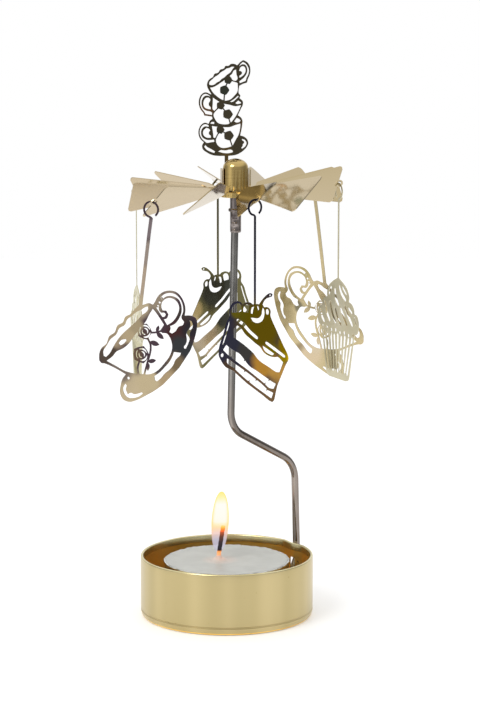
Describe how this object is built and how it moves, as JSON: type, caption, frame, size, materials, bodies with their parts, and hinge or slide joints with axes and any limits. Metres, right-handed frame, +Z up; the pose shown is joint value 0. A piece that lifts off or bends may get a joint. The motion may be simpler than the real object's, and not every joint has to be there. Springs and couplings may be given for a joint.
{
  "type": "rotary tealight holder",
  "caption": "Tealight tin with a bent wire stand and a needle-borne rotor of twisted vanes, which turns in the candle's warm air and carries hanging sheet-metal charms",
  "frame": {"origin": "on the table, straight under the rotor's axis, on the flat bottom of the tin", "axes": "+Z up along the rotor's axis; -Y is the front, +X the right side seen from the front"},
  "size_m": [0.0786, 0.0776, 0.1664],
  "materials": {
    "tin_brass": "thin drawn brass-coloured sheet, satin outside and glossier inside",
    "rod_steel": "bare steel wire, slightly dull",
    "sleeve_nickel": "turned and nickel plated, polished",
    "needle_steel": "ground steel point",
    "cap_brass": "turned brass, polished",
    "rotor_sheet": "stamped sheet, mirror polished",
    "charm_sheet": "etched sheet, mirror polished",
    "topper_sheet": "etched sheet, polished",
    "cup_aluminium": "thin drawn aluminium",
    "wax": "white paraffin wax, slightly translucent",
    "foot_tin": "thin pressed metal",
    "wick_cotton": "waxed cotton, charred above the wax"
  },
  "bodies": {
    "stand": {"base_tin": "tin_brass", "stand_rod": "rod_steel", "pivot_sleeve": "sleeve_nickel", "pivot_needle": "needle_steel"},
    "rotor": {"rotor_wheel": "rotor_sheet", "bearing_cap": "cap_brass", "topper": "topper_sheet"},
    "cake_front_charm": {"cake_front": "charm_sheet"},
    "cupcake_right_charm": {"cupcake_right": "charm_sheet"},
    "teacup_back_charm": {"teacup_back": "charm_sheet"},
    "cake_back_charm": {"cake_back": "charm_sheet"},
    "cupcake_left_charm": {"cupcake_left": "charm_sheet"},
    "teacup_front_charm": {"teacup_front": "charm_sheet"},
    "tealight": {"tealight_cup": "cup_aluminium", "tealight_wax": "wax", "wick_foot": "foot_tin", "wick": "wick_cotton"}
  },
  "joints": [
    {"name": "rotor_spin", "type": "hinge", "parent": "stand", "child": "rotor", "pos_m": [0, 0, 0.135], "axis": [0, 0, 1], "continuous": true},
    {"name": "cake_front_swing", "type": "hinge", "parent": "rotor", "child": "cake_front_charm", "pos_m": [0.00553, -0.0311, 0.12815], "axis": [-0.8018, -0.5976, 0], "range_deg": [-10, 60]},
    {"name": "cupcake_right_swing", "type": "hinge", "parent": "rotor", "child": "cupcake_right_charm", "pos_m": [0.02997, -0.01074, 0.13089], "axis": [0.4019, -0.9157, 0], "range_deg": [-10, 60]},
    {"name": "teacup_back_swing", "type": "hinge", "parent": "rotor", "child": "teacup_back_charm", "pos_m": [0.02409, 0.02024, 0.12803], "axis": [0.8545, -0.5195, 0], "range_deg": [-10, 60]},
    {"name": "cake_back_swing", "type": "hinge", "parent": "rotor", "child": "cake_back_charm", "pos_m": [-0.00553, 0.0311, 0.12805], "axis": [0.8018, 0.5976, 0], "range_deg": [-10, 60]},
    {"name": "cupcake_left_swing", "type": "hinge", "parent": "rotor", "child": "cupcake_left_charm", "pos_m": [-0.02976, 0.01076, 0.12664], "axis": [-0.1857, 0.9826, 0], "range_deg": [-10, 60]},
    {"name": "teacup_front_swing", "type": "hinge", "parent": "rotor", "child": "teacup_front_charm", "pos_m": [-0.02416, -0.02034, 0.12653], "axis": [-0.9184, 0.3955, 0], "range_deg": [-10, 60]},
    {"name": "tealight_lift", "type": "slide", "parent": "stand", "child": "tealight", "axis": [0, 0, 1], "range_m": [0, 0.022]}
  ]
}
